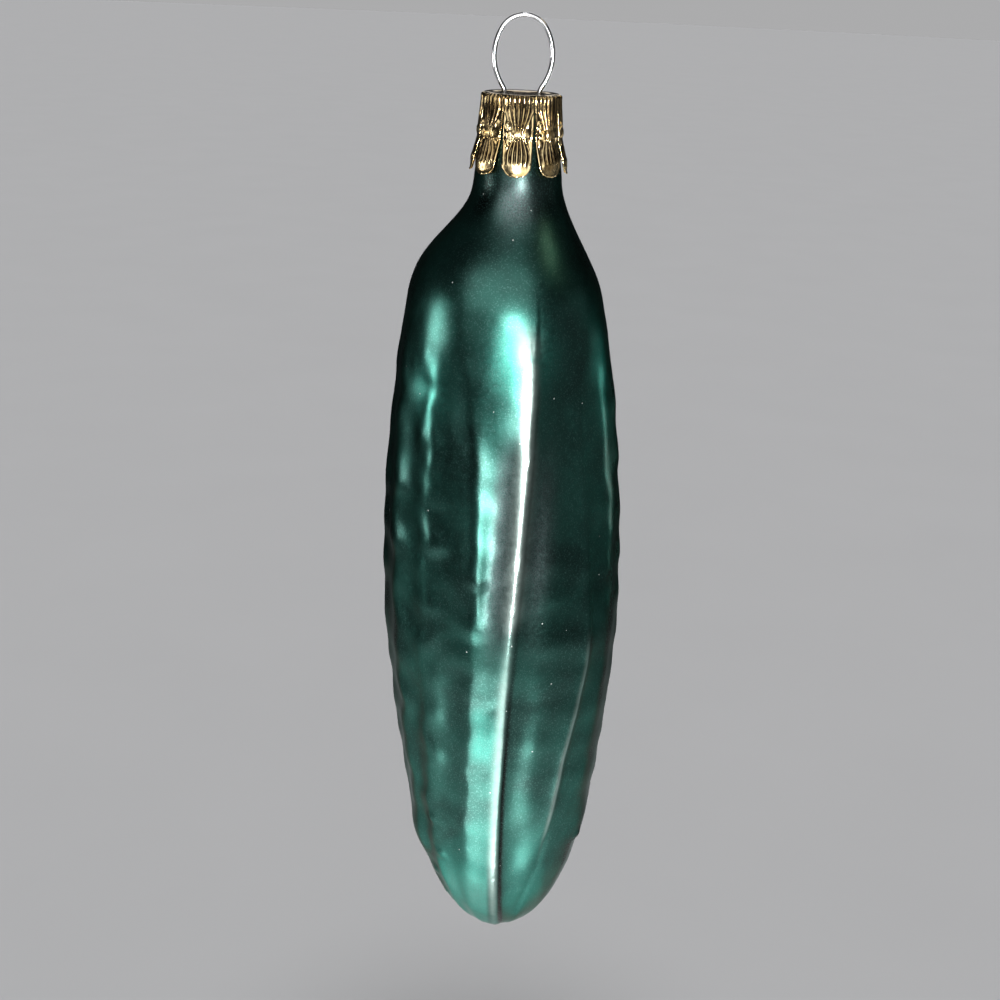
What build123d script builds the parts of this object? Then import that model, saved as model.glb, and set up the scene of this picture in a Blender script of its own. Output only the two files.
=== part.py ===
from build123d import *
from math import asin, cos, degrees, exp, pi, radians, sin
import os

# Hanging ornament: a hollow blown pickle, a stamped crown cap over its neck and a spring wire hanger.
# Millimetres. The origin is the inside of the hanger's crest, where it bears on what it hangs from.
# +Z is up, the loop lies in XZ, and -Y is the front of the pickle.

# Hanger wire
wire_radius = 0.3
crest_radius = 3.2  # bend over the top of the loop
crest_turn = 60  # degrees, to each side
side_radius = 6.4  # flatter bend down each side
closing_turn = 35  # degrees that each side leans inward at the bottom of the loop
waist_radius = 1.6  # bend at the cap, where the wire turns back outward
leg_length = 15
leg_end_radius = 2.5
leg_end_turn = 40  # degrees that each leg's end curls inward
leg_clearance = 0.35  # between a leg and the neck's bore, at its widest

# Crown cap
sheet = 0.3
petal_count = 8
petal_turn = -3.4  # degrees from the front to the nearest petal
cap_height = 9.7
cap_clearance = 0.1  # between the neck and the folds between the petals
petal_swell = 0.14  # how far a petal stands out from its folds
top_edge = 0.6  # softened edge round the top
pinch_depth = 4.6  # below the top, where each petal is gathered
pinch_length = 1.2
pinch_swell = 0.04
slit_top = 1.8  # below the top
slit_width = 0.25  # at its top
slit_mouth = 0.95  # at its bottom
petal_round = 1.7  # corners of the petal ends
hole_clearance = 0.15

# Glass pickle
wall = 0.8
rim_clearance = 0.1
neck_radius = 4.75
neck_flare = 0.95
flare_drop = 3.0  # cap's top to where the neck starts to flare
flare_length = 9.0
shoulder_drop = 1.1  # cap's lower edge to where the shoulder starts
shoulder_length = 16.0
belly_radius = 16.5
upper_length = 60.3  # cap's lower edge to the belly
upper_taper = 0.592
upper_power = 0.65
lower_length = 54.0  # belly to the closed end
end_taper = 0.4  # share of the belly lost to the taper
taper_power = 1.42
end_power = 7.0  # the higher, the blunter
flat_ratio = 0.97  # front to back, against side to side
shoulder_shift = 1.05  # the body sets off to one side of the neck
shift_drop = 2.8  # cap's lower edge to where it does
shift_length = 9.6
lean_ratio = 0.03  # and drifts back to the other, per millimetre

# Ribs along the pickle, the hollows between them and the sharper front keel
rib_rise = 0.3
rib_dip = 0.62
rib_soft_ratio = 0.6  # the lower, the sharper its crest
relief_drop = 12.6  # cap's lower edge to the first trace of the relief
relief_length = 20.0
keel_height = 0.9
keel_width = 1.4

# Each rib's share of the rise, the share of the dip down to the next one, and how many degrees round from
# the front it is at the top of the relief, at the belly and at the end
ribs = [
    (1.0, 1.0, -158, -161, -164),
    (1.0, 1.0, -124, -126, -128),
    (1.2, 0.7, -91, -89, -93),
    (1.0, 0.7, -66, -62, -68),
    (1.2, 1.2, -40, -37, -50),
    (1.0, 0.8, -24, -14, -36),
    (0.7, 1.4, 16, 3, -5),
    (-1.2, 0.3, 40, 48, 24),
    (1.0, 0.6, 63, 66, 58),
    (1.2, 1.0, 88, 88, 90),
    (1.0, 1.0, 123, 125, 126),
    (1.0, 1.0, 160, 159, 158),
]
keel = 6  # the rib that carries it

# Fineness of the lofted glass
section_points = 90
neck_sections = 8
shoulder_sections = 10
body_sections = 10
end_sections = 16
closing_angle = 87.5  # degrees, where the last section closes the end

# Depths below the cap's top
belly_depth = cap_height + upper_length
end_depth = belly_depth + lower_length
relief_depth = cap_height + relief_drop
shift_depth = cap_height + shift_drop
shoulder_depth = cap_height + shoulder_drop
rim_depth = sheet + top_edge + rim_clearance

os.makedirs("parts", exist_ok=True)


def ease(value):
    value = min(max(value, 0), 1)
    return value * value * (3 - 2 * value)


def settle(value):
    """Like ease, but slower to come to rest."""
    value = min(max(value, 0), 1)
    return 1 - (1 - value) ** 3 * (1 + 3 * value)


def glass_outline(depth, inset):
    """Mean radius of the glass at a depth below the cap's top, inset from its outer face."""
    if depth > belly_depth:
        reach = min((depth - belly_depth) / (lower_length - inset), 1)
        taper = 1 - end_taper * reach**taper_power
        return (belly_radius - inset) * taper * (1 - reach**end_power) ** 0.5
    reach = min((belly_depth - depth) / upper_length, 1)
    body = belly_radius * (1 - upper_taper * reach**2) ** upper_power
    neck = neck_radius + neck_flare * ease((depth - flare_drop) / flare_length)
    return neck + (body - neck) * settle((depth - shoulder_depth) / shoulder_length) - inset


def rib_angles(depth):
    """Degrees round from the front to each rib, and once round to the first one again."""
    angles = []
    for rise, dip, top, belly, end in ribs:
        if depth < belly_depth:
            reach = max(depth - relief_depth, 0) / (belly_depth - relief_depth)
            angles.append(top + (belly - top) * reach)
        else:
            angles.append(belly + (end - belly) * (depth - belly_depth) / lower_length)
    return angles + [angles[0] + 360]


def flute(part):
    """Hollow between two ribs, from 0 at both to 1 halfway."""
    return ((16 * (part - part**2) ** 2 + rib_soft_ratio**2) ** 0.5 - rib_soft_ratio) / (
        (1 + rib_soft_ratio**2) ** 0.5 - rib_soft_ratio
    )


def relief(angle, angles, depth, radius):
    """Height of the ribs and the keel above the mean outline."""
    strength = ease((depth - relief_depth) / relief_length) * radius / belly_radius
    angle = (angle - angles[0]) % 360 + angles[0]
    for index in range(len(ribs)):
        if angle <= angles[index + 1]:
            break
    part = (angle - angles[index]) / (angles[index + 1] - angles[index])
    rise = ribs[index][0] * (1 - part) + ribs[(index + 1) % len(ribs)][0] * part
    from_keel = radians(angle - angles[keel]) * radius
    ridge = keel_height * exp(-((from_keel / keel_width) ** 2))
    return strength * (rib_rise * rise - rib_dip * ribs[index][1] * flute(part) + ridge)


def spine(depth):
    below = max(depth - shift_depth, 0)
    return (lean_ratio * (below - shift_length) - shoulder_shift) * ease(below / shift_length)


def glass_ring(depth, inset):
    """Points round the glass, from the keel and back to it."""
    radius = glass_outline(depth, inset)
    squeeze = 1 - (1 - flat_ratio) * ease((depth - cap_height) / upper_length)
    angles = rib_angles(depth)
    points = []
    for index in range(section_points):
        angle = angles[keel] + 360 * index / section_points
        reach = radius + relief(angle, angles, depth, radius)
        turn = radians(angle)
        points.append((reach * sin(turn), -reach * cos(turn) * squeeze))
    return points


def glass_depths(inset):
    """Depths of the sections, closer together at the shoulder and at the closed end."""
    neck_step = (cap_height - rim_depth) / neck_sections
    depths = [rim_depth + neck_step * index for index in range(neck_sections)]
    shoulder_step = (shoulder_drop + shoulder_length) / shoulder_sections
    depths += [cap_height + shoulder_step * index for index in range(shoulder_sections)]
    body_top = shoulder_depth + shoulder_length
    body_step = (belly_depth - body_top) / body_sections
    depths += [body_top + body_step * index for index in range(body_sections)]
    for index in range(end_sections + 1):
        angle = radians(closing_angle * index / end_sections)
        depths.append(belly_depth + (lower_length - inset) * sin(angle))
    return depths


# Hanger wire, bent in one plane, its legs squeezed to pass the neck
leg_reach = neck_radius - wall - leg_clearance - wire_radius
with BuildPart() as hanger_wire:
    with BuildLine(Plane.XZ) as bend:
        crest = JernArc((0, wire_radius), (1, 0), crest_radius, -crest_turn)
        side = JernArc(crest @ 1, crest % 1, side_radius, crest_turn - 90 - closing_turn)
        waist = JernArc(side @ 1, side % 1, waist_radius, closing_turn)
        hole_offset = (waist @ 1).X
        waist_height = (waist @ 1).Z
        splay = degrees(asin((leg_reach - hole_offset) / leg_length))
        spread = JernArc(waist @ 1, waist % 1, waist_radius, splay)
        leg = Line(spread @ 1, spread @ 1 + (spread % 1) * leg_length)
        leg_end = JernArc(leg @ 1, leg % 1, leg_end_radius, -splay - leg_end_turn)
        mirror(about=Plane.YZ)
    with BuildSketch(Plane(leg_end @ 1, z_dir=leg_end % 1)):
        Circle(wire_radius)
    sweep()

hanger_wire.part.label = "hanger_wire"
export_step(hanger_wire.part, "parts/hanger_wire.step")

# Crown cap, its top plate at the wire's waist
cap_top = waist_height + sheet / 2
petal_pitch = 2 * pi / petal_count
pinch_top = pinch_depth - pinch_length / 2
pinch_bottom = pinch_depth + pinch_length / 2
skirt_levels = [
    (pinch_top, 0, petal_swell),
    (pinch_depth, 0, pinch_swell),
    (pinch_bottom, 0, petal_swell),
    ((pinch_bottom + cap_height) / 2, 0, petal_swell),
    (cap_height, 0, petal_swell),
]


def petal_point(radius, place):
    """Point at a radius, with the place counted in petals from the front one."""
    angle = place * petal_pitch + radians(petal_turn)
    return (radius * sin(angle), -radius * cos(angle))


with BuildPart() as slit_cutter:
    with BuildSketch(Plane((0, 0, cap_top - cap_height), x_dir=(1, 0, 0), z_dir=(0, -1, 0))):
        with BuildLine():
            slit_height = cap_height - slit_top
            Polyline((0, slit_height), (slit_width / 2, slit_height), (slit_mouth / 2, petal_round))
            corner = CenterArc((slit_mouth / 2 + petal_round, petal_round), petal_round, 180, 90)
            Polyline(corner @ 1, corner @ 1 - (0, petal_round), (0, -petal_round))
            mirror(about=Plane.YZ)
        make_face()
    extrude(amount=2 * glass_outline(cap_height, 0))

with BuildPart() as crown_cap:
    for offset, top, mode in ((sheet, 0, Mode.ADD), (0, sheet, Mode.SUBTRACT)):
        top_levels = [(top, top_edge, petal_swell), (top + top_edge, 0, petal_swell)]
        for depth, step, swell in top_levels + skirt_levels:
            fold_radius = glass_outline(depth, 0) + cap_clearance + offset - step
            with BuildSketch(Plane.XY.offset(cap_top - depth)):
                with BuildLine():
                    for place in range(petal_count):
                        ThreePointArc(
                            petal_point(fold_radius, place - 0.5),
                            petal_point(fold_radius + swell, place),
                            petal_point(fold_radius, place + 0.5),
                        )
                make_face()
        loft(ruled=True, mode=mode)
    for place in range(petal_count):
        with Locations(Rotation(0, 0, petal_turn + degrees((place + 0.5) * petal_pitch))):
            add(slit_cutter.part, mode=Mode.SUBTRACT)
    with Locations((-hole_offset, 0, cap_top), (hole_offset, 0, cap_top)):
        Hole(wire_radius + hole_clearance, depth=2 * sheet)

crown_cap.part.label = "crown_cap"
export_step(crown_cap.part, "parts/crown_cap.step")

# Glass pickle, hollow, open at the neck's rim
even_steps = [index / section_points for index in range(section_points + 1)]

with BuildPart() as glass_body:
    for inset, mode in ((0, Mode.ADD), (wall, Mode.SUBTRACT)):
        for depth in glass_depths(inset):
            with BuildSketch(Plane((spine(depth), 0, cap_top - depth))):
                with BuildLine():
                    add(Edge.make_spline(glass_ring(depth, inset), periodic=True, parameters=even_steps))
                make_face()
        loft(ruled=True, mode=mode)

glass_body.part.label = "glass_body"
export_step(glass_body.part, "parts/glass_body.step")
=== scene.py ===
import bmesh
import bpy
import random
import numpy as np
from math import pi, radians
from mathutils import Matrix, Vector


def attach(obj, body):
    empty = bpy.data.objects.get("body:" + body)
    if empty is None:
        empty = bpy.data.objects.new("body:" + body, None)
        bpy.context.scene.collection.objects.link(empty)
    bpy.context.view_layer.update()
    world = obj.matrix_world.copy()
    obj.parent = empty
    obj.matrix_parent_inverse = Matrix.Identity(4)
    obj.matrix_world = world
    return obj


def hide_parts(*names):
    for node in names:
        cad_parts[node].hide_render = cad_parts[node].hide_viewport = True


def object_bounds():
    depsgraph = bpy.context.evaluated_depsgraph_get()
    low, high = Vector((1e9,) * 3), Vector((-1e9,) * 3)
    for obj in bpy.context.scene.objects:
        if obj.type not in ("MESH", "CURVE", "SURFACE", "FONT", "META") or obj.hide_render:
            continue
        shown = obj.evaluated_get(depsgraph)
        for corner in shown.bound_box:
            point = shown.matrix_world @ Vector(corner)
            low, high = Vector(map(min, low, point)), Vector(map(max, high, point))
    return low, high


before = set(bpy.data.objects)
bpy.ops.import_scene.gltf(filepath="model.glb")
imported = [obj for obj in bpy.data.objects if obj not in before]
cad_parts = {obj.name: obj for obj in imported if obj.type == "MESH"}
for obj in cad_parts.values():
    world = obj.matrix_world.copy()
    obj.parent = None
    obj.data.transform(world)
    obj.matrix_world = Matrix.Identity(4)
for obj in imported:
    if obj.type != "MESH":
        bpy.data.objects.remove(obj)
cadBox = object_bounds()
scene = bpy.context.scene
mm = 0.001
capTop = -8.9386  # height of the cap's top plate, the depths below are counted from it
print("frame loaded:", sorted(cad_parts))


def ease(value):
    value = np.clip(value, 0, 1)
    return value * value * (3 - 2 * value)


def settle(value):
    value = np.clip(value, 0, 1)
    return 1 - (1 - value) ** 3 * (1 + 3 * value)


# Small helpers for the materials and meshes
def startMaterial(name):
    material = bpy.data.materials.new(name)
    material.use_nodes = True
    tree = material.node_tree
    shader = tree.nodes["Principled BSDF"]
    place = tree.nodes.new("ShaderNodeTexCoord").outputs["Object"]
    return material, tree, shader, place


def noise(tree, place, size, detail=2.0, rough=0.5, stretch=(1, 1, 1)):
    mapping = tree.nodes.new("ShaderNodeMapping")
    mapping.inputs["Scale"].default_value = stretch
    tree.links.new(place, mapping.inputs["Vector"])
    node = tree.nodes.new("ShaderNodeTexNoise")
    node.inputs["Scale"].default_value = 1 / (size * mm)  # size of a blotch, in millimetres
    node.inputs["Detail"].default_value = detail
    node.inputs["Roughness"].default_value = rough
    tree.links.new(mapping.outputs["Vector"], node.inputs["Vector"])
    return node.outputs["Fac"]


def spread(tree, value, low, high, toLow=0.0, toHigh=1.0):
    node = tree.nodes.new("ShaderNodeMapRange")
    for socket, number in (("From Min", low), ("From Max", high), ("To Min", toLow), ("To Max", toHigh)):
        node.inputs[socket].default_value = number
    tree.links.new(value, node.inputs["Value"])
    return node.outputs["Result"]


def combine(tree, operation, first, second):
    node = tree.nodes.new("ShaderNodeMath")
    node.operation = operation
    for socket, value in zip(node.inputs, (first, second)):
        if isinstance(value, (int, float)):
            socket.default_value = value
        else:
            tree.links.new(value, socket)
    return node.outputs["Value"]


def blendColour(tree, amount, first, second):
    node = tree.nodes.new("ShaderNodeMix")
    node.data_type = "RGBA"
    tree.links.new(amount, node.inputs["Factor"])
    for socket, value in ((node.inputs[6], first), (node.inputs[7], second)):
        if isinstance(value, tuple):
            socket.default_value = (*value, 1)
        else:
            tree.links.new(value, socket)
    return node.outputs[2]


def paintedOn(tree, name):
    node = tree.nodes.new("ShaderNodeAttribute")
    node.attribute_name = name
    return node.outputs["Fac"]


def addBump(tree, shader, heights, depth, socket="Normal"):
    node = tree.nodes.new("ShaderNodeBump")
    node.inputs["Distance"].default_value = depth * mm
    tree.links.new(heights, node.inputs["Height"])
    tree.links.new(node.outputs["Normal"], shader.inputs[socket])


def only(kind, parts):
    return [part for part in parts if isinstance(part, kind)]


def finishPiece(name, bm, body, node, material):
    mesh = bpy.data.meshes.new(name)
    bm.to_mesh(mesh)
    bm.free()
    mesh.shade_smooth()
    mesh.materials.append(material)
    piece = bpy.data.objects.new(name, mesh)
    scene.collection.objects.link(piece)
    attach(piece, body)
    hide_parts(node)
    print(name, "faces:", len(mesh.polygons))
    return piece


# Green lacquer over silvered glass: thin and pale on the crests, partly worn lacquer and partly a painted
# highlight, with further painted highlights, a painted grey sheen and painted shade
lacquer = {
    "deep": (0.021, 0.070, 0.059),
    "fresh": (0.034, 0.138, 0.112),
    # colour of the painted highlight
    "mint": (0.058, 0.330, 0.265),
    # grey of the haze, a painted sheen
    "haze": (0.25, 0.29, 0.305),
    # pale of the thin lacquer and of a painted highlight
    "pale": (0.60, 0.73, 0.68),
    # painted shade
    "pooled": (0.003, 0.006, 0.005),
    # painted shade on the neck under the cap
    "bare": (0.012, 0.034, 0.029),
    "flake": (0.17, 0.37, 0.33),
    "dust": (0.62, 0.68, 0.66),
    "silver": (0.78, 0.80, 0.80),
    "edge": (0.14, 0.24, 0.22),
    "roughness": 0.31,
    "dustRoughness": 0.35,  # added to the lacquer's own
    "hazeRoughness": 0.10,
    "coat": 0.3,
    "coatRoughness": 0.22,
    "blotchSize": 7.0,  # sizes of the patterns, in millimetres
    "patchSize": 1.1,
    "cloudSize": 0.7,
    "flakeSize": 0.2,
    "grainSize": 0.16,
    "dustPitch": 1.9,
    "grainDepth": 0.0075,
    "sparkleDepth": 0.017,
}


def makeDust(tree, place):
    # one speck in about a quarter of the cells
    dustCells = tree.nodes.new("ShaderNodeTexVoronoi")
    dustCells.inputs["Scale"].default_value = 1 / (lacquer["dustPitch"] * mm)
    tree.links.new(place, dustCells.inputs["Vector"])
    tint = tree.nodes.new("ShaderNodeSeparateColor")
    tree.links.new(dustCells.outputs["Color"], tint.inputs["Color"])
    chosen = spread(tree, tint.outputs["Red"], 0.72, 0.74)
    return combine(tree, "MULTIPLY", spread(tree, dustCells.outputs["Distance"], 0.036, 0.064, 1, 0), chosen)


def makeLacquer():
    c = lacquer
    material, tree, shader, place = startMaterial("green_lacquer")
    blotch = noise(tree, place, c["blotchSize"], 3.0)
    grain = noise(tree, place, c["grainSize"], 2.0, 0.6)
    flake = noise(tree, place, c["flakeSize"], 2.0, 0.6)
    patchy = spread(tree, noise(tree, place, c["patchSize"]), 0.25, 0.6, 0.75, 1)
    # painted highlight, broken up by the grain
    mint = combine(tree, "MULTIPLY", paintedOn(tree, "mint"), spread(tree, grain, 0.35, 0.62, 0.6, 1))
    # grey haze with a painted sheen, broken up by the grain
    haze = combine(tree, "MULTIPLY", paintedOn(tree, "haze"), spread(tree, grain, 0.35, 0.62, 0.35, 1))
    # pale thin lacquer and painted highlight, in patches
    thin = combine(tree, "MULTIPLY", paintedOn(tree, "thin"), patchy)
    speck = makeDust(tree, place)
    colour = blendColour(tree, spread(tree, blotch, 0.35, 0.68), c["deep"], c["fresh"])
    # one layer over the other, from the painted highlight and sheen, the pale thin lacquer and the painted
    # shade up to the flakes and dust, and the silvering inside
    coats = (
        (mint, "mint"),
        (haze, "haze"),
        (thin, "pale"),
        (paintedOn(tree, "pooled"), "pooled"),
        (paintedOn(tree, "bare"), "bare"),
        (spread(tree, flake, 0.54, 0.68, 0, 0.32), "flake"),
        (speck, "dust"),
        (paintedOn(tree, "inside"), "silver"),
    )
    for amount, coat in coats:
        colour = blendColour(tree, amount, colour, c[coat])
    tree.links.new(colour, shader.inputs["Base Color"])
    cloud = noise(tree, place, c["cloudSize"], 2.0)
    gloss = combine(tree, "ADD", spread(tree, cloud, 0.3, 0.7, -0.03, 0.03), c["roughness"])
    gloss = combine(tree, "ADD", gloss, combine(tree, "MULTIPLY", speck, c["dustRoughness"]))
    gloss = combine(tree, "ADD", gloss, combine(tree, "MULTIPLY", haze, c["hazeRoughness"]))
    tree.links.new(gloss, shader.inputs["Roughness"])
    addBump(tree, shader, grain, c["grainDepth"])
    addBump(tree, shader, grain, c["sparkleDepth"], "Coat Normal")
    shader.inputs["Metallic"].default_value = 1
    shader.inputs["Specular Tint"].default_value = (*c["edge"], 1)
    shader.inputs["Coat Weight"].default_value = c["coat"]
    shader.inputs["Coat Roughness"].default_value = c["coatRoughness"]
    return material


# Polished gold sheet, dark brown in its grooves: part browning, part painted shade
gold = {
    "bright": (0.96, 0.76, 0.42),
    "warm": (0.83, 0.58, 0.25),
    # dark brown of browning and painted shade in the grooves
    "groove": (0.036, 0.021, 0.010),
    "roughness": 0.06,
    "brownRoughness": 0.12,  # added to the gold's own
    "rubbedRoughness": 0.22,
    "blotchSize": 2.2,  # sizes of the patterns, in millimetres
    "patchSize": 0.5,
    "rubSize": 0.35,
    "rubDepth": 0.005,
}


def makeGold():
    c = gold
    material, tree, shader, place = startMaterial("gold_sheet")
    blotch = noise(tree, place, c["blotchSize"], 3.0)
    colour = blendColour(tree, spread(tree, blotch, 0.35, 0.65), c["bright"], c["warm"])
    patchy = spread(tree, noise(tree, place, c["patchSize"]), 0.2, 0.6, 0.6, 1)
    # browning and painted shade in the grooves
    brown = combine(tree, "MULTIPLY", paintedOn(tree, "groove"), patchy)
    colour = blendColour(tree, brown, colour, c["groove"])
    tree.links.new(colour, shader.inputs["Base Color"])
    rub = noise(tree, place, c["rubSize"], 3.0, 0.6, (1, 1, 0.25))
    gloss = combine(tree, "ADD", spread(tree, rub, 0.35, 0.7, -0.03, 0.05), c["roughness"])
    gloss = combine(tree, "ADD", gloss, combine(tree, "MULTIPLY", brown, c["brownRoughness"]))
    rubbed = combine(tree, "MULTIPLY", paintedOn(tree, "rubbed"), c["rubbedRoughness"])
    tree.links.new(combine(tree, "ADD", gloss, rubbed), shader.inputs["Roughness"])
    addBump(tree, shader, rub, c["rubDepth"])
    shader.inputs["Metallic"].default_value = 1
    return material


# Bright drawn spring wire
steel = {
    "light": (0.86, 0.86, 0.87),
    "grey": (0.66, 0.66, 0.68),
    "roughness": 0.16,
    "blotchSize": 1.6,
    "drawnSize": 0.12,
    "drawnDepth": 0.006,
}


def makeSteel():
    c = steel
    material, tree, shader, place = startMaterial("spring_wire")
    blotch = noise(tree, place, c["blotchSize"], 2.0)
    colour = blendColour(tree, spread(tree, blotch, 0.35, 0.65), c["light"], c["grey"])
    tree.links.new(colour, shader.inputs["Base Color"])
    drawn = noise(tree, place, c["drawnSize"], 2.0, 0.5, (1, 1, 0.08))
    gloss = combine(tree, "ADD", spread(tree, drawn, 0.3, 0.7, -0.04, 0.08), c["roughness"])
    tree.links.new(gloss, shader.inputs["Roughness"])
    addBump(tree, shader, drawn, c["drawnDepth"])
    shader.inputs["Metallic"].default_value = 1
    return material


lacquerCoat = makeLacquer()
goldSheet = makeGold()
springWire = makeSteel()
print("materials made")


# The blown pickle, all lengths in millimetres, depths below the cap's top, angles from the front to the right
pickle = {
    "columns": 272,
    "rings": 296,
    "innerRings": 44,
    "lipCuts": 3,
    "wall": 0.8,
    "rimDepth": 1.0,
    "neckRadius": 4.75,
    "neckFlare": 0.95,
    "flareDepth": 3.0,
    "flareLength": 9.0,
    "capHeight": 9.7,
    "shoulderDepth": 10.8,
    "shoulderLength": 16.0,
    "bellyDepth": 70.0,
    "bellyRadius": 16.5,
    "upperTaper": 0.592,
    "upperPower": 0.65,
    "lowerLength": 53.94,
    "endTaper": 0.4,
    "taperPower": 1.42,
    "endPower": 7.0,
    "flatness": 0.97,
    "shoulderShift": 1.05,
    "shiftDepth": 12.5,
    "shiftLength": 9.6,
    "lean": 0.03,
    "fluteDepth": 27.0,
    "fluteLength": 18.0,
    "facetDepth": 24.0,  # the facet right of the keel starts higher
    "detailDepth": 22.0,
    "detailLength": 9.0,
    "keelDepth": 27.0,
    "keelHeight": 0.60,
    "keelWidth": 1.2,
    "seamHeight": 0.3,
    "scallopDepth": 47.7,  # scalloped edge of the lit strip
    "scallopRate": 1.12,
    "stripEnd": 62.0,  # the warty crest is softer below
    "wartPitch": 7.2,
    "wartHeight": 0.5,
    "wartDepths": (32, 114),
    "crowding": 0.45,  # how far the columns crowd towards the keel
    "highest": 0.40,  # crests at the sides stay under this
    "frontHighest": 0.85,
}

# crests round the pickle: rise, dip to the next one, roundness, sway, depths and angles of the line
crests = [
    (0.00, 0.62, 0.8, 1.5, (20, 122), (-158, -164)),
    (0.00, 0.62, 0.8, 1.5, (20, 122), (-124, -128)),
    (0.05, 0.42, 0.8, 1.0, (20, 70, 122), (-91, -89, -93)),
    (0.00, 0.40, 1.6, 1.6, (25, 50, 80, 105, 122), (-66, -65, -61, -64, -68)),
    (0.05, 0.45, 2.0, 1.6, (25, 45, 70, 88, 100, 122), (-40, -39, -37, -40, -46, -50)),
    (0.25, 0.50, 0.34, 0.0, (22, 29, 34, 38, 42, 53, 65, 82, 95, 104, 122),
     (-25, -22, -18, -15.5, -13.5, -12.5, -12.5, -15, -18, -22, -26)),  # warty
    (0.20, 0.90, 0.12, 0.0, (25, 36, 49, 63, 78, 95, 122), (15.5, 13, 9, 5, 1, -2, -4.5)),  # keel
    (-0.60, 0.15, 0.25, 0.0, (25, 36, 50, 65, 74, 80, 88, 94, 103, 112, 122),
     (40, 43, 46, 48, 48, 44, 38, 35.5, 31, 27, 24)),  # seam
    (-0.25, 0.12, 1.6, 1.2, (25, 45, 65, 80, 100, 122), (63, 64, 67, 65, 61, 58)),
    (0.05, 0.62, 1.8, 1.0, (20, 60, 90, 122), (88, 88, 89, 90)),
    (0.00, 0.62, 0.8, 1.5, (20, 122), (123, 126)),
    (0.00, 0.62, 0.8, 1.5, (20, 122), (160, 158)),
]
warty, keel, seam = 5, 6, 7

# lobes of the lit strip along the warty crest, and cells below it: top, bottom, height, half width, fall
lobes = [
    (38.0, 42.4, 0.14, 1.8, 2.6),
    (43.4, 60.0, 0.30, 2.8, 2.2),
    (61.5, 66.8, 0.28, 2.4, 2.8),
]
cells = [
    (69.0, 77.4, 0.30, 2.5, 2.0),
    (79.0, 86.4, 0.56, 2.4, 3.4),
    (89.5, 92.6, 0.20, 2.2, 2.6),
    (95.0, 117.0, 0.40, 3.2, 3.0),
]
# soft rib between the keel and the seam, and single warts: angle, depth, height, half width, half length
softRib = ((25, 40, 55, 65, 80, 95, 122), (27, 25, 22, 25, 22, 20, 17))
warts = [
    (65, 105, 0.5, 0.9, 0.9),
    (-59, 112, 0.5, 0.8, 0.8),
    (-60, 117, 0.4, 0.7, 0.7),
    (-43, 107, 0.45, 0.9, 0.9),
    (-46, 100.5, 0.35, 0.9, 0.9),
    (-72, 106, 1.4, 3.4, 3.4),
    (70, 103, 0.7, 3.0, 3.0),
    (-42, 35.5, -0.17, 2.2, 4.2),  # a shallow dent
    (-41, 38.0, 0.10, 1.0, 1.4),
    (-47, 31.5, 0.10, 1.0, 1.6),
    (-37, 41.0, 0.16, 1.2, 1.7),
    (-36, 45.5, 0.24, 1.3, 1.5),
    (-45, 42.0, 0.16, 1.0, 1.3),
]

# where the lacquer is thin and pale, with a painted grey sheen, painted highlights and painted shade, from 0
# to 1, with depths from and to
paint = {
    "keel": 0.95,
    "keelDepth": 29.5,
    "keelHalf": 0.72,  # half width of the pale line, worn lacquer with a painted highlight
    "seam": 0.45,
    "seamDepths": (72, 103),
    "tip": 0.12,
    "hazeSheenLeft": 0.65,  # of the keel
    "hazeSheenLeftDepths": (43, 68),
    "hazeSheenRight": 0.5,
    "hazeSheenRightDepths": (46, 66),
    "strip": 0.08,
    "stripDepths": (44.5, 60.0),
    "upperStrip": 0.25,
    "upperStripDepths": (33, 43),
    "cell": 0.52,
    "cellDepths": (79.8, 87.2),
    "endRight": 0.3,
    "neckDepths": (5, 15),
}
# single patches of it, a pale painted highlight core, a painted sheen and painted highlights: layer,
# strength, angle, depth, half width, half length
patches = [
    ("thin", 0.7, 12.5, 29.5, 1.2, 1.7),
    ("haze", 0.75, 0, 12.5, 2.8, 3),
    ("mint", 0.9, 9, 31, 4.6, 4.6),
    ("mint", 0.9, 66, 34, 2.6, 5),
    ("mint", 0.7, -42, 36, 3.0, 4.5),
]
neckShades = ((-42, 0.92), (15, 0.6), (45, 0.6))  # angles that are darker under the cap, and how much


def outlineRadius(depth, inset):
    p = pickle
    belly = p["bellyRadius"]
    lower = np.clip((depth - p["bellyDepth"]) / (p["lowerLength"] - inset), 0, 1)
    taper = 1 - p["endTaper"] * lower ** p["taperPower"]
    below = (belly - inset) * taper * np.sqrt(1 - lower ** p["endPower"])
    upper = np.clip((p["bellyDepth"] - depth) / (p["bellyDepth"] - p["capHeight"]), 0, 1)
    body = belly * (1 - p["upperTaper"] * upper**2) ** p["upperPower"]
    neck = p["neckRadius"] + p["neckFlare"] * ease((depth - p["flareDepth"]) / p["flareLength"])
    above = neck + (body - neck) * settle((depth - p["shoulderDepth"]) / p["shoulderLength"]) - inset
    return np.where(depth > p["bellyDepth"], below, above)


def crestAngles(depth):
    p = pickle
    lines = []
    for index, (*_, sway, depths, angles) in enumerate(crests):
        swung = sway * np.sin(depth * 0.55 + index * 2.1) + 0.6 * sway * np.sin(depth * 0.97 + index)
        if index == warty:
            scallop = -0.35 * np.cos((depth - p["scallopDepth"]) * p["scallopRate"])
            swung = scallop * ease((depth - 40) / 5) * (1 - ease((depth - p["stripEnd"]) / 10))
            freer = 0.6 * np.sin(depth * 0.62) + 0.4 * np.sin(depth * 1.37 + 1)
            swung = swung + ease((depth - 60) / 8) * freer
        lines.append(np.interp(depth, depths, angles) + swung)
    return lines


def across(angle, toAngle, radius):
    return (np.mod(angle - toAngle + 180, 360) - 180) * pi / 180 * radius


def roundedRidge(distance, width, roundness):
    return np.exp(-(np.sqrt(distance**2 + roundness**2) - roundness) / width)


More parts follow.
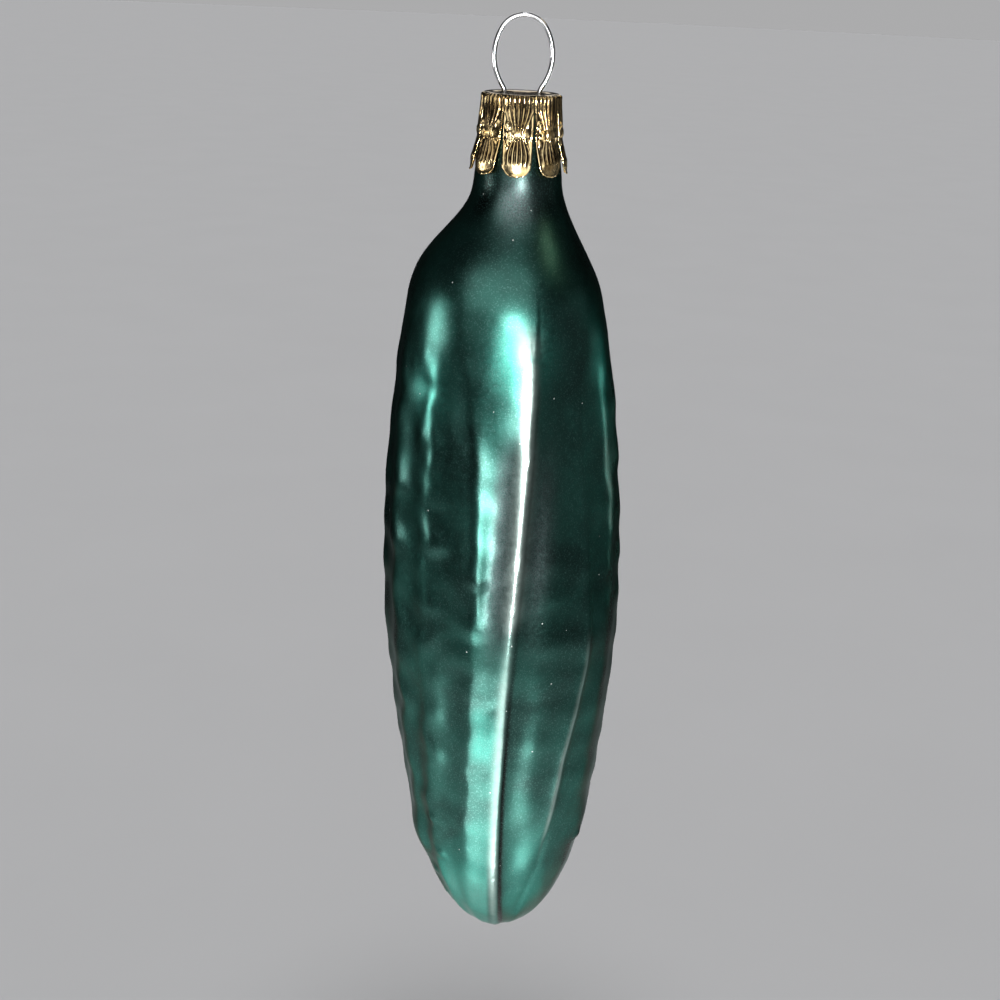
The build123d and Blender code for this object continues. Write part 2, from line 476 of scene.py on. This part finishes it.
def mound(aside, wide, along, long):
    return np.exp(-((aside / wide) ** 2) - (along / long) ** 2)


def window(value, low, high, soft):
    return ease((value - low) / soft + 0.5) * (1 - ease((value - high) / soft + 0.5))


# hollow flutes between the crests
def pickleFlutes(angle, depth, lines):
    p = pickle
    strength = ease((depth - p["fluteDepth"]) / p["fluteLength"])
    facet = ease((depth - p["facetDepth"]) / p["fluteLength"])
    flutes = np.zeros_like(angle)
    turned = np.where(angle < lines[0], angle + 360, angle)
    for index, line in enumerate(lines):
        after = lines[index + 1] if index + 1 < len(lines) else lines[0] + 360
        rise, dip, roundness = crests[index][:3]
        nextRise, _, nextRoundness = crests[(index + 1) % len(crests)][:3]
        part = (turned - line) / (after - line)
        soft = roundness * (1 - part) + nextRoundness * part
        if warty in (index, index + 1):
            soft = soft + 0.9 * ease((depth - p["stripEnd"]) / 12)
        if keel in (index, index + 1):
            soft = soft + 0.9 * (1 - ease((depth - p["keelDepth"]) / 10))
        hollow = (np.sqrt((4 * part * (1 - part)) ** 2 + soft**2) - soft) / (np.sqrt(1 + soft**2) - soft)
        deepness = facet if index == keel else strength
        if index == warty:
            deepness = ease((depth - 37) / 9) * (1 - 0.6 * ease((depth - p["stripEnd"]) / 8))
        mixed = ease(part) if index == seam else part  # a soft crest right of the seam
        between = rise + (nextRise - rise) * mixed
        within = (part >= 0) & (part < 1)
        flutes = np.where(within, facet * between - deepness * dip * hollow, flutes)
    return flutes


# warts in file along each crest, sloping gently above and steeply below
def pickleWarts(angle, depth, radius, lines):
    p = pickle
    height = np.zeros_like(angle)
    fromWarty = across(angle, lines[warty], radius)
    for top, bottom, tall, wide, fall in lobes:
        part = (depth + 0.1 * fromWarty**2 - top) / (bottom - top)
        along = np.where(part < 1, np.clip(part, 0, 1), 1 - ease((part - 1) * (bottom - top) / fall))
        leftSide, rightSide = np.exp(-((fromWarty / 1.2) ** 2)), np.exp(-((np.abs(fromWarty) / wide) ** 1.5))
        height += tall * along * np.where(fromWarty < 0, leftSide, rightSide)
    for top, bottom, tall, wide, fall in cells:
        aside = (fromWarty - wide * 0.62) / wide
        sagging = depth + 0.9 * aside**2  # rounded lower edge
        part = (sagging - top) / (bottom - top)
        slope = ease(part) * 0.5 + np.clip(part, 0, 1) * 0.5
        along = np.where(part < 1, slope, 1 - ease((sagging - bottom) / fall))
        height += tall * along * np.exp(-(np.abs(aside) ** 3))
    # smaller warts, thrown along the other crests and the soft rib
    dice = random.Random(12)
    plain = [index for index in range(len(lines)) if index not in (warty, keel, seam)]
    wartLines = [(lines[index], 0.3 if index == seam + 1 else 0.85) for index in plain]
    wartLines.append((np.interp(depth, *softRib), 0.55))
    first, last = p["wartDepths"]
    for line, share in wartLines:
        offset = across(angle, line, radius)
        place = first + dice.uniform(0, p["wartPitch"])
        while place < last:
            tall = share * p["wartHeight"] * dice.uniform(0.35, 1.1) * (1.0 if place < 66 else 0.5)
            aside = dice.uniform(-1.3, 1.3)
            long = dice.uniform(2.2, 3.8)
            wide = dice.uniform(1.5, 2.6)
            along = depth - place
            height += tall * mound(offset - aside, wide, along, np.where(along < 0, long, long * 0.6))
            place += p["wartPitch"] * dice.uniform(0.7, 1.3)
    height += 0.28 * np.exp(-((across(angle, np.interp(depth, *softRib), radius) / 2.4) ** 2))
    # slow unevenness of hand-blown glass, smaller dents and single warts
    turn = np.radians(angle)
    height += 0.08 * np.sin(depth * 0.31 + turn * 3) * np.sin(depth * 0.17 - turn * 2)
    height += 0.05 * np.sin(depth * 0.71 + turn * 7 + 1) * np.sin(depth * 0.43 - turn * 11)
    for toAngle, place, tall, wide, long in warts:
        height += tall * mound(across(angle, toAngle, radius), wide, depth - place, long)
    return height


def pickleRelief(angle, depth, radius, lines):
    p = pickle
    height = pickleWarts(angle, depth, radius, lines)
    # sharp front keel, with a groove down its right side, the thin seam and a crease across the end
    fromKeel, fromSeam = across(angle, lines[keel], radius), across(angle, lines[seam], radius)
    keelWidth = np.where(fromKeel < 0, p["keelWidth"], 0.75 * p["keelWidth"])
    height += p["keelHeight"] * ease((depth - p["keelDepth"]) / 9) * roundedRidge(fromKeel, keelWidth, 1.0)
    step = np.clip(fromKeel - 0.5, 0, None)
    height -= (0.15 + 0.40 * ease((depth - 70) / 22)) * ease(step / 0.5) * np.exp(-step / 3.0)
    height += p["seamHeight"] * window(depth, 66, 100, 12) * roundedRidge(fromSeam, 0.55, 0.16)
    crease = across(angle, 33 - 11 * (depth - 103) / 12, radius)
    height -= 0.35 * np.exp(-((crease / 0.7) ** 2)) * window(depth, 102, 117, 4)
    detail = ease((depth - p["detailDepth"]) / p["detailLength"])
    total = pickleFlutes(angle, depth, lines) + detail * height
    # nothing stands higher than its limit
    atFront = np.exp(-((angle / 38) ** 2))
    limit = p["highest"] + (p["frontHighest"] - p["highest"]) * atFront + 1.2 * ease((depth - 92) / 9)
    total = np.where(total > 0, limit * np.tanh(total / limit), total)
    return radius / p["bellyRadius"] * total


def picklePaint(angle, depth, radius, lines):
    w = paint
    fromWarty, fromKeel, fromSeam = (across(angle, lines[index], radius) for index in (warty, keel, seam))
    # thin and pale on the keel, the seam and the tip: worn lacquer with a painted highlight
    worn = ease((depth - w["keelDepth"]) / 3)
    worn = worn * (1 - 0.76 * ease((depth - 65) / 3) + 0.15 * ease((depth - 92) / 16))
    half = w["keelHalf"] + 0.36 * ease((depth - 38) / 8) - 0.4 * ease((depth - 64) / 6)
    thin = w["keel"] * np.exp(-((fromKeel / half) ** 2)) * worn
    onSeam = np.exp(-((fromSeam / 0.32) ** 2))
    thin = np.maximum(thin, w["seam"] * onSeam * window(depth, *w["seamDepths"], 10))
    tip = w["tip"] * ease((depth - 106) / 8) * window(fromWarty, -4, 9, 3)
    thin = np.maximum(thin, tip * (1 - ease((fromKeel + 1) / 0.8)))
    # painted shade in the groove right of the keel and on the neck under the cap
    inGroove = np.exp(-(((fromKeel - 0.95) / 0.32) ** 2))
    pooled = inGroove * (0.45 * ease((depth - 30) / 8) + 0.55 * ease((depth - 66) / 24))
    for toAngle, much in neckShades:
        shade = much * np.exp(-(((angle - toAngle) / 20) ** 2))
        pooled = np.maximum(pooled, shade * window(depth, *w["neckDepths"], 4))
    # grey haze with a painted sheen on both sides of the keel
    haze = w["hazeSheenLeft"] * window(fromKeel, -3.2, -0.3, 2.4) * window(depth, *w["hazeSheenLeftDepths"], 14)
    onRight = np.exp(-(((fromKeel - 3) / 1.9) ** 2))
    haze = np.maximum(haze, w["hazeSheenRight"] * onRight * window(depth, *w["hazeSheenRightDepths"], 16))
    # painted highlight along the lit strip, on the cell below it and round the end
    wavy = fromWarty + 0.25 * np.cos((depth - pickle["scallopDepth"]) * pickle["scallopRate"])
    wavy = wavy + 0.10 * np.sin(depth * 2.3)
    mint = w["strip"] * window(depth, *w["stripDepths"], 1.2) * window(wavy, -0.2, 2.8, 1.2)
    upperStrip = w["upperStrip"] * window(wavy, 0.6, 5.0, 2.5)
    mint = np.maximum(mint, upperStrip * window(depth, *w["upperStripDepths"], 8))
    cell = w["cell"] * window(depth, *w["cellDepths"], 3.0)
    mint = np.maximum(mint, cell * window(fromWarty, 0.4, 3.4, 1.8))
    endLeft = (0.25 + 0.75 * ease((depth - 104) / 8)) * ease((depth - 94) / 8)
    endLeft = endLeft * window(fromWarty, 0.6 - 6 * ease((depth - 98) / 10), 9, 2.4)
    mint = np.maximum(mint, endLeft * (1 - ease((fromKeel + 1.2) / 0.8)))
    mint = np.maximum(mint, w["endRight"] * ease((depth - 97) / 10) * window(fromKeel, 1.6, 8, 1.6))
    painted = {"thin": thin, "haze": haze, "pooled": pooled, "mint": mint}
    for layer, much, toAngle, place, wide, long in patches:
        patch = much * mound(across(angle, toAngle, radius), wide, depth - place, long)
        painted[layer] = np.maximum(painted[layer], patch)
    return painted


def makePickle():
    p = pickle
    bm = bmesh.new()
    # two straight lines, the outer wall and the inner one, spun into a double tube
    outer = [bm.verts.new((0, -2, 0)), bm.verts.new((0, -2, 1))]
    inner = [bm.verts.new((0, -1, 1)), bm.verts.new((0, -1, 0))]
    outerLine = bm.edges.new(outer)
    rimLine = bm.edges.new((outer[1], inner[0]))
    innerLine = bm.edges.new(inner)
    bmesh.ops.subdivide_edges(bm, edges=[outerLine], cuts=p["rings"] - 1)
    bmesh.ops.subdivide_edges(bm, edges=[rimLine], cuts=p["lipCuts"])
    bmesh.ops.subdivide_edges(bm, edges=[innerLine], cuts=p["innerRings"] - 1)
    bmesh.ops.spin(
        bm, geom=bm.verts[:] + bm.edges[:], cent=(0, 0, 0), axis=(0, 0, 1), dvec=(0, 0, 0),
        angle=2 * pi, steps=p["columns"], use_merge=True,
    )
    # the tube is blown out into the pickle's form
    at = np.array([v.co for v in bm.verts])
    tube = np.hypot(at[:, 0], at[:, 1])  # 2 on the outer wall, 1 on the inner
    column = np.arctan2(at[:, 0], -at[:, 1])
    inset = p["wall"] * np.clip(2 - tube, 0, 1)
    endDepth = p["bellyDepth"] + p["lowerLength"] - inset
    depth = endDepth - (endDepth - p["rimDepth"]) * np.clip(at[:, 2], 0, 1) ** 1.2
    radius = outlineRadius(depth, inset)
    lines = crestAngles(depth)
    keelAngle = lines[keel] * ease((depth - 10) / 15)
    angle = np.degrees(column - p["crowding"] * np.sin(column)) + keelAngle
    angle = np.mod(angle + 180, 360) - 180
    reach = radius + pickleRelief(angle, depth, radius, lines)
    painted = picklePaint(angle, depth, radius, lines)
    painted["bare"] = 1 - ease((depth - 8.6) / 1.2)  # painted shade on the neck under the cap
    painted["inside"] = (inset > 0.1).astype(float)
    # the rim's rounded lip
    lip = (at[:, 2] > 0.9999) & (tube > 1.01) & (tube < 1.99)
    rounding = np.sqrt(np.clip(1 - (2 * (tube - 1.5)) ** 2, 0, 1))
    depth = np.where(lip, depth - 0.5 * p["wall"] * rounding, depth)
    below = np.maximum(depth - p["shiftDepth"], 0)
    side = (p["lean"] * (below - p["shiftLength"]) - p["shoulderShift"]) * ease(below / p["shiftLength"])
    squeeze = 1 - (1 - p["flatness"]) * ease((depth - p["capHeight"]) / (p["bellyDepth"] - p["capHeight"]))
    turn = np.radians(angle)
    spots = np.stack((side + reach * np.sin(turn), -reach * np.cos(turn) * squeeze, capTop - depth), 1) * mm
    layers = [(bm.verts.layers.float.new(name), values) for name, values in painted.items()]
    bm.verts.ensure_lookup_table()
    for index, vert in enumerate(bm.verts):
        vert.co = spots[index]
        for layer, values in layers:
            vert[layer] = values[index]
    bmesh.ops.remove_doubles(bm, verts=bm.verts, dist=1e-7)
    bmesh.ops.recalc_face_normals(bm, faces=bm.faces)
    finishPiece("glass_pickle", bm, "glass", "glass_body", lacquerCoat)


makePickle()


# The stamped crown: one petal made from a flat sheet, then turned round the neck
crown = {
    "petals": 8,
    "turn": -3.4,
    "height": 9.7,
    "sheet": 0.24,
    "clearance": 0.40,  # outer face over the neck, at the folds
    "swell": 0.14,
    "edge": 0.5,
    "edgeShare": 0.14,  # share of the sheet's rows in the rounded edge
    "across": 64,
    "down": 68,
    "slitTop": 1.8,
    "slitWidth": 0.14,
    "slitMouth": 0.92,
    "endRound": 1.7,
    "knotDepth": 4.6,
    "flutes": 6,
    "fluteHeight": 0.085,
    "fluteEnd": 7.7,
    "dotHeight": 0.05,
    "beadHeight": 0.15,
    "spoonDepth": 8.6,
    "spoonHeight": 0.06,
    "askew": 0.14,
    "rimHeight": 0.07,
    "pitDepth": 8.9,
    "pits": (-0.3, 0.05, 0.35),
    "plateRing": 3.9,
    # painted shade on the top plate
    "plateShade": 0.8,
    "holeOffset": 2.182,
    "holeRadius": 0.45,
    "holeSides": 24,
}


def shapePetal(bm, grooveLayer, rubbedLayer):
    c = crown
    at = np.array([v.co for v in bm.verts])
    u = at[:, 0]
    v = (1 - at[:, 1]) / 2
    bend = np.clip(v / c["edgeShare"], 0, 1) * pi / 2
    fall = np.clip((v - c["edgeShare"]) / (1 - c["edgeShare"]), 0, 1)
    depth = c["edge"] * (1 - np.cos(bend)) + (c["height"] - c["edge"]) * fall
    base = outlineRadius(depth, 0) + c["clearance"]
    half = base * pi / c["petals"]
    opening = np.clip((depth - c["slitTop"]) / (c["height"] - c["endRound"] - c["slitTop"]), 0, 1)
    gap = c["slitWidth"] + (c["slitMouth"] - c["slitWidth"]) * opening**2
    gap = np.where(depth > c["slitTop"] + 1e-6, gap, 0) * ease((depth - c["slitTop"]) / 0.3)
    width = half - gap / 2
    past = np.clip((depth - (c["height"] - c["endRound"])) / c["endRound"], 0, 1)
    width = width - c["endRound"] * (1 - np.sqrt(1 - past**2 * 0.995))
    # bow-tie of flutes gathered at a knot, each fan leaning out downward, with beads round the knot
    fromKnot = depth - c["knotDepth"]
    tie = 0.42 + 0.5 * np.where(fromKnot < 0, ease(-fromKnot / 3.0), ease(fromKnot / 2.6))
    inTie = u / tie
    inside = 1 - ease((np.abs(inTie) - 0.86) / 0.2)
    lengthwise = ease((depth + 0.05) / 0.2) * (1 - ease((depth - c["fluteEnd"]) / 0.7))
    wave = np.cos(inTie * pi * c["flutes"])
    flute = c["fluteHeight"] * wave * inside * lengthwise * (1 - 0.9 * np.exp(-((fromKnot / 0.5) ** 2)))
    rise = c["swell"] * (1 - u**2)
    above = 1 - ease((fromKnot - 0.35) / 0.5)
    upperFan = (0.26 * ease((depth - 0.4) / 3.8) - 0.26) * above
    lowerFan = (0.32 * np.clip((fromKnot - 0.5) / 2.6, 0, 1) - 0.14) * (1 - above)
    bead = np.exp(-((fromKnot / 0.42) ** 4) - (u / 0.22) ** 4)
    bead = np.maximum(bead, np.exp(-((fromKnot / 0.42) ** 4) - ((np.abs(u) - 0.52) / 0.17) ** 4))
    lesser = np.exp(-(((np.abs(fromKnot) - 1.05) / 0.36) ** 4) - ((np.abs(u) - 0.7) / 0.13) ** 4)
    bead = np.maximum(bead, 0.8 * lesser)
    fromSpoon = depth - c["spoonDepth"]
    spoon = np.exp(-((fromSpoon / 0.75) ** 4) - (u / 0.8) ** 4)
    facing = -c["askew"] * u * width  # beads and spoons are struck a little askew
    dots = wave * inside * np.exp(-(((v - 0.09) / 0.035) ** 2))
    rise = rise + flute + upperFan + lowerFan + c["dotHeight"] * dots
    rise = rise + bead * (c["beadHeight"] + facing - 0.09 * fromKnot)
    rise = rise + spoon * (c["spoonHeight"] + facing - 0.13 * fromSpoon)
    rubbed = np.maximum(bead, spoon)
    # raised rim round each petal
    toSide = np.where(depth > c["slitTop"], width * (1 - np.abs(u)), 9)
    toEnd = c["height"] - depth
    toRim = np.minimum(toSide, toEnd)
    rise += c["rimHeight"] * np.exp(-(((toRim - 0.1) / 0.13) ** 2))
    # dark brown between the flutes and the petals, and in small pits on the spoon: part browning, part
    # painted shade
    groove = np.clip((0.92 - wave) * 2.6, 0.2, 1) * inside * lengthwise
    groove = groove * (1 - np.exp(-((fromKnot / 0.4) ** 2)))
    groove = np.maximum(groove, 0.9 * ease((np.abs(u) - 0.88) / 0.12) * (depth < c["slitTop"] + 0.4))
    for pit in c["pits"]:
        groove = np.maximum(groove, 0.9 * mound(u - pit, 0.09, depth - c["pitDepth"] + abs(pit), 0.22))
    radius = base - c["edge"] * (1 - np.sin(bend)) + rise * np.sin(bend)
    height = capTop - depth + rise * np.cos(bend) * 0.5
    turn = radians(c["turn"]) + u * width / base
    spots = np.stack((radius * np.sin(turn), -radius * np.cos(turn), height), 1) * mm
    for vert, spot, dark, dull in zip(bm.verts, spots, groove, rubbed):
        vert.co = spot
        vert[grooveLayer] = dark
        vert[rubbedLayer] = dull


def makeCrown():
    c = crown
    bm = bmesh.new()
    bmesh.ops.create_grid(bm, x_segments=c["across"], y_segments=c["down"], size=1)
    grooveLayer = bm.verts.layers.float.new("groove")
    rubbedLayer = bm.verts.layers.float.new("rubbed")
    topRow = [v for v in bm.verts if v.co.y > 0.999]
    shapePetal(bm, grooveLayer, rubbedLayer)
    for v in topRow:
        v.co.z = capTop * mm  # level where it meets the top plate
        # painted shade on the rim where the petals meet the top plate
        v[grooveLayer] = c["plateShade"]
    bmesh.ops.spin(
        bm, geom=bm.verts[:] + bm.edges[:] + bm.faces[:], cent=(0, 0, 0), axis=(0, 0, 1), dvec=(0, 0, 0),
        angle=2 * pi * (c["petals"] - 1) / c["petals"], steps=c["petals"] - 1, use_duplicate=True,
    )
    bmesh.ops.remove_doubles(bm, verts=bm.verts, dist=2e-6)
    # top plate in painted shade, dark brown, drawn in from the ring of petals, with two holes for the wire
    ring = [e for e in bm.edges if e.is_boundary and all(v.co.z > (capTop - 0.01) * mm for v in e.verts)]
    drawn = bmesh.ops.extrude_edge_only(bm, edges=ring)["geom"]
    for v in only(bmesh.types.BMVert, drawn):
        v.co.xy = v.co.xy.normalized() * c["plateRing"] * mm
        v[grooveLayer] = c["plateShade"]
    plateEdges = [e for e in only(bmesh.types.BMEdge, drawn) if e.is_boundary]
    for hole in (-c["holeOffset"], c["holeOffset"]):
        made = bmesh.ops.create_circle(
            bm, segments=c["holeSides"], radius=c["holeRadius"] * mm,
            matrix=Matrix.Translation((hole * mm, 0, capTop * mm)),
        )
        for v in made["verts"]:
            v[grooveLayer] = c["plateShade"]
        plateEdges += list({e for v in made["verts"] for e in v.link_edges})
    bmesh.ops.triangle_fill(bm, edges=plateEdges, use_beauty=True, normal=(0, 0, 1))
    bmesh.ops.recalc_face_normals(bm, faces=bm.faces)
    outward = sum(f.normal.xy.dot(f.calc_center_median().xy) for f in bm.faces)
    if outward < 0:
        bmesh.ops.reverse_faces(bm, faces=bm.faces)
    piece = finishPiece("petal_crown", bm, "cap", "crown_cap", goldSheet)
    thickness = piece.modifiers.new("sheet", "SOLIDIFY")
    thickness.thickness = c["sheet"] * mm
    thickness.offset = -1


makeCrown()


# The hanger, one round wire drawn through its bends and mirrored
hanger = {
    "wire": 0.3,
    "crest": (3.2, 60),  # each bend's radius and its turn in degrees
    "side": (6.4, 65),
    "waist": (1.6, -35),
    "spread": (1.6, -4.27),
    "leg": 15.0,
    "legEnd": (2.5, 44.27),
    "endBevel": 0.08,
    "sides": 20,
}


def bendWire(bm, ring, place, heading, radius, turn):
    inward = Vector((heading.z, 0, -heading.x)) if turn > 0 else Vector((-heading.z, 0, heading.x))
    centre = place + inward * radius
    bent = bmesh.ops.spin(
        bm, geom=ring, cent=centre * mm, axis=(0, 1, 0), dvec=(0, 0, 0),
        angle=radians(turn), steps=max(4, round(abs(turn) / 3)), use_merge=False,
    )
    swing = Matrix.Rotation(radians(turn), 3, "Y")
    return bent["geom_last"], centre + swing @ (place - centre), swing @ heading


def makeHanger():
    h = hanger
    bm = bmesh.new()
    place, heading = Vector((0, 0, h["wire"])), Vector((1, 0, 0))
    facing = Matrix.Translation(place * mm) @ Matrix.Rotation(pi / 2, 4, "Y")
    made = bmesh.ops.create_circle(bm, segments=h["sides"], radius=h["wire"] * mm, matrix=facing)
    ring = list({e for v in made["verts"] for e in v.link_edges}) + made["verts"]
    for name in ("crest", "side", "waist", "spread"):
        ring, place, heading = bendWire(bm, ring, place, heading, *h[name])
    leg = bmesh.ops.extrude_edge_only(bm, edges=only(bmesh.types.BMEdge, ring))["geom"]
    ends = only(bmesh.types.BMVert, leg)
    bmesh.ops.translate(bm, verts=ends, vec=heading * h["leg"] * mm)
    place = place + heading * h["leg"]
    ring = ends + [e for e in only(bmesh.types.BMEdge, leg) if all(v in ends for v in e.verts)]
    ring, place, heading = bendWire(bm, ring, place, heading, *h["legEnd"])
    cut = only(bmesh.types.BMEdge, ring)
    bmesh.ops.contextual_create(bm, geom=cut)
    bmesh.ops.bevel(
        bm, geom=cut, offset=h["endBevel"] * mm, affect="EDGES", segments=2, profile=0.5, material=-1,
    )
    bmesh.ops.mirror(bm, geom=bm.verts[:] + bm.edges[:] + bm.faces[:], axis="X", merge_dist=1e-6)
    bmesh.ops.remove_doubles(bm, verts=bm.verts, dist=1e-7)
    bmesh.ops.recalc_face_normals(bm, faces=bm.faces)
    finishPiece("wire_hanger", bm, "hanger", "hanger_wire", springWire)


makeHanger()

# Floor, lights and camera
studio = {
    "floorDrop": 38.0,  # below the pickle's end, clear of the glass drawn off its cap
    "floorRadius": 6.0,  # metres
    "floor": (0.62, 0.62, 0.63),
    "floorFleck": 0.96,
    "sun": 2.1,
    "sunAngle": 35,
    "background": (0.41, 0.41, 0.415),
    "above": (0.035, 0.037, 0.039),
    "level": (0.020, 0.021, 0.022),
    "below": (1.15, 1.17, 1.17),
}
# light panels and cards: place, size, power, the point that they face, and a tint
middle = (0, 0, -60)
panels = {
    "key_light": ((85, -480, -62), 90, 2.0, middle),
    "key_strip": ((62, -480, -195), (30, 170), 0.8, middle),
    "left_light": ((-420, -70, -75), 140, 0.38, middle),
    "right_light": ((330, 190, -140), 90, 0.07, middle),
    "right_fill": ((430, -60, -60), (420, 300), 0.05, middle),
    "top_card": ((-54, -342, 175), (600, 360), 0.9, middle),
    "back_card": ((20, 420, 190), (260, 220), 0.25, middle),
    "crown_light": ((10, -60, 330), 60, 0.12, (0, 0, -9)),
    "warm_card": ((330, -40, 330), 160, 0.14, middle, (1.0, 0.86, 0.6)),
    "floor_card": ((-4, -60, -137), 70, 0.055, (-10, -20, 0)),
}


def addPanel(name, place, size, power, aim, tint=(1, 1, 1)):
    light = bpy.data.lights.new(name, "AREA")
    light.color = tint
    if isinstance(size, tuple):
        light.shape = "RECTANGLE"
        light.size, light.size_y = size[0] * mm, size[1] * mm
    else:
        light.shape = "DISK"
        light.size = size * mm
    light.energy = power
    lamp = bpy.data.objects.new(name, light)
    lamp.location = Vector(place) * mm
    lamp.rotation_euler = (Vector(aim) - Vector(place)).to_track_quat("-Z", "Y").to_euler()
    lamp.visible_camera = False
    lamp.visible_diffuse = False  # gloss only, so the floor stays even
    scene.collection.objects.link(lamp)


def makeFloor():
    s = studio
    bm = bmesh.new()
    bmesh.ops.create_circle(
        bm, cap_ends=True, segments=96, radius=s["floorRadius"],
        matrix=Matrix.Translation((0, 0, cadBox[0].z - s["floorDrop"] * mm)),
    )
    mesh = bpy.data.meshes.new("studio_floor")
    bm.to_mesh(mesh)
    bm.free()
    floor = bpy.data.objects.new("studio_floor", mesh)
    scene.collection.objects.link(floor)
    floor.visible_glossy = False  # the surround stands for it in reflections
    material, tree, shader, place = startMaterial("studio_floor")
    fleck = tuple(s["floorFleck"] * c for c in s["floor"])
    shade = blendColour(tree, noise(tree, place, 40, 3), s["floor"], fleck)
    tree.links.new(shade, shader.inputs["Base Color"])
    shader.inputs["Roughness"].default_value = 0.9
    shader.inputs["Specular IOR Level"].default_value = 0
    mesh.materials.append(material)


def makeSurround():
    s = studio
    world = bpy.data.worlds.new("studio_surround")
    world.use_nodes = True
    scene.world = world
    tree = world.node_tree
    dim = tree.nodes["Background"]
    # dim all round and light below, for reflections, with a pale background for the camera
    direction = tree.nodes.new("ShaderNodeTexCoord").outputs["Generated"]
    split = tree.nodes.new("ShaderNodeSeparateXYZ")
    tree.links.new(direction, split.inputs["Vector"])
    ramp = tree.nodes.new("ShaderNodeValToRGB")
    stops = ((0.0, s["below"]), (0.09, s["below"]), (0.32, s["level"]), (0.55, s["level"]), (0.8, s["above"]))
    while len(ramp.color_ramp.elements) < len(stops):
        ramp.color_ramp.elements.new(0.5)
    for element, (place, colour) in zip(ramp.color_ramp.elements, stops):
        element.position = place
        element.color = (*colour, 1)
    tree.links.new(spread(tree, split.outputs["Z"], -1, 1), ramp.inputs["Fac"])
    tree.links.new(ramp.outputs["Color"], dim.inputs["Color"])
    pale = tree.nodes.new("ShaderNodeBackground")
    pale.inputs["Color"].default_value = (*s["background"], 1)
    path = tree.nodes.new("ShaderNodeLightPath")
    mix = tree.nodes.new("ShaderNodeMixShader")
    tree.links.new(path.outputs["Is Camera Ray"], mix.inputs["Fac"])
    tree.links.new(dim.outputs["Background"], mix.inputs[1])
    tree.links.new(pale.outputs["Background"], mix.inputs[2])
    tree.links.new(mix.outputs["Shader"], tree.nodes["World Output"].inputs["Surface"])


makeFloor()
makeSurround()
sunLight = bpy.data.lights.new("overhead", "SUN")
sunLight.energy = studio["sun"]
sunLight.angle = radians(studio["sunAngle"])
sun = bpy.data.objects.new("overhead", sunLight)
sun.location = (0, 0, 1)
sun.visible_glossy = False
scene.collection.objects.link(sun)
for name, panel in panels.items():
    addPanel(name, *panel)

lens = {"focal": 50.4, "sensor": 36, "place": (-3.1, -182.0, 5.3), "pitch": 20.7, "roll": 2.4}
cameraData = bpy.data.cameras.new("camera")
cameraData.lens = lens["focal"]
cameraData.sensor_width = lens["sensor"]
cameraData.clip_start = 0.001
cameraData.clip_end = 20
camera = bpy.data.objects.new("camera", cameraData)
camera.matrix_world = (
    Matrix.Rotation(radians(-lens["roll"]), 4, "Y")
    @ Matrix.Translation(Vector(lens["place"]) * mm)
    @ Matrix.Rotation(radians(90 - lens["pitch"]), 4, "X")
)
scene.collection.objects.link(camera)
scene.camera = camera
scene.view_settings.view_transform = "Standard"
print("studio and camera set")
